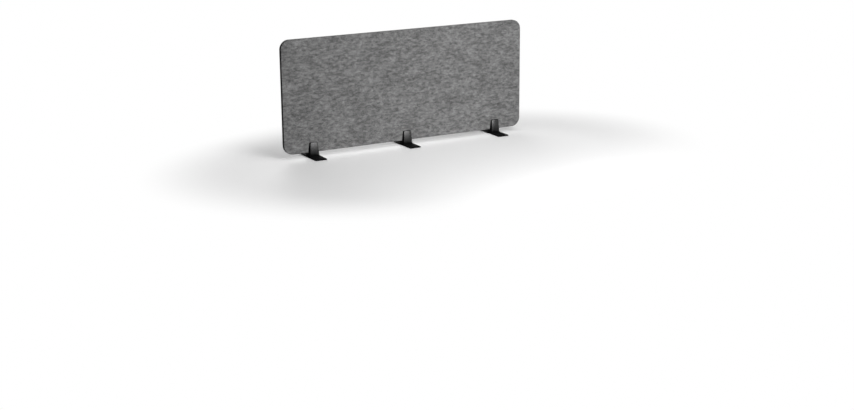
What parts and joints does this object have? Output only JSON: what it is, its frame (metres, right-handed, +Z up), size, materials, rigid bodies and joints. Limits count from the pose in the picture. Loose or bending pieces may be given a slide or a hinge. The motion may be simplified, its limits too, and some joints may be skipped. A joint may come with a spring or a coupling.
{
  "type": "acoustic divider screen",
  "caption": "Free-standing felt acoustic divider screen for a worktop, held in slotted black feet that slide along it and that it lifts out of.",
  "frame": {"origin": "on the standing surface, under the middle of the panel: the centre of the bounding box's bottom", "axes": "+X along the panel, +Y towards its rear, +Z up"},
  "size_m": [1.2, 0.19, 0.521],
  "materials": {
    "felt": "matte",
    "plate_paint": "satin",
    "fork_moulding": "satin",
    "screw_steel": "satin",
    "insert_brass": "satin",
    "pad_rubber": "matte"
  },
  "bodies": {
    "centre_foot": {"centre_base_plate": "plate_paint", "centre_fork": "fork_moulding", "centre_plate_screws": "screw_steel", "centre_threaded_inserts": "insert_brass", "centre_front_pad": "pad_rubber", "centre_rear_pad": "pad_rubber"},
    "panel": {"front_felt_board": "felt", "rear_felt_board": "felt"},
    "left_foot": {"left_base_plate": "plate_paint", "left_fork": "fork_moulding", "left_plate_screws": "screw_steel", "left_threaded_inserts": "insert_brass", "left_front_pad": "pad_rubber", "left_rear_pad": "pad_rubber"},
    "right_foot": {"right_base_plate": "plate_paint", "right_fork": "fork_moulding", "right_plate_screws": "screw_steel", "right_threaded_inserts": "insert_brass", "right_front_pad": "pad_rubber", "right_rear_pad": "pad_rubber"}
  },
  "joints": [
    {"name": "panel_lift", "type": "slide", "parent": "centre_foot", "child": "panel", "axis": [0, 0, 1], "range_m": [0, 0.06]},
    {"name": "left_foot_slide", "type": "slide", "parent": "centre_foot", "child": "left_foot", "axis": [-1, 0, 0], "range_m": [-0.395, 0.06]},
    {"name": "right_foot_slide", "type": "slide", "parent": "centre_foot", "child": "right_foot", "axis": [1, 0, 0], "range_m": [-0.395, 0.06]}
  ]
}
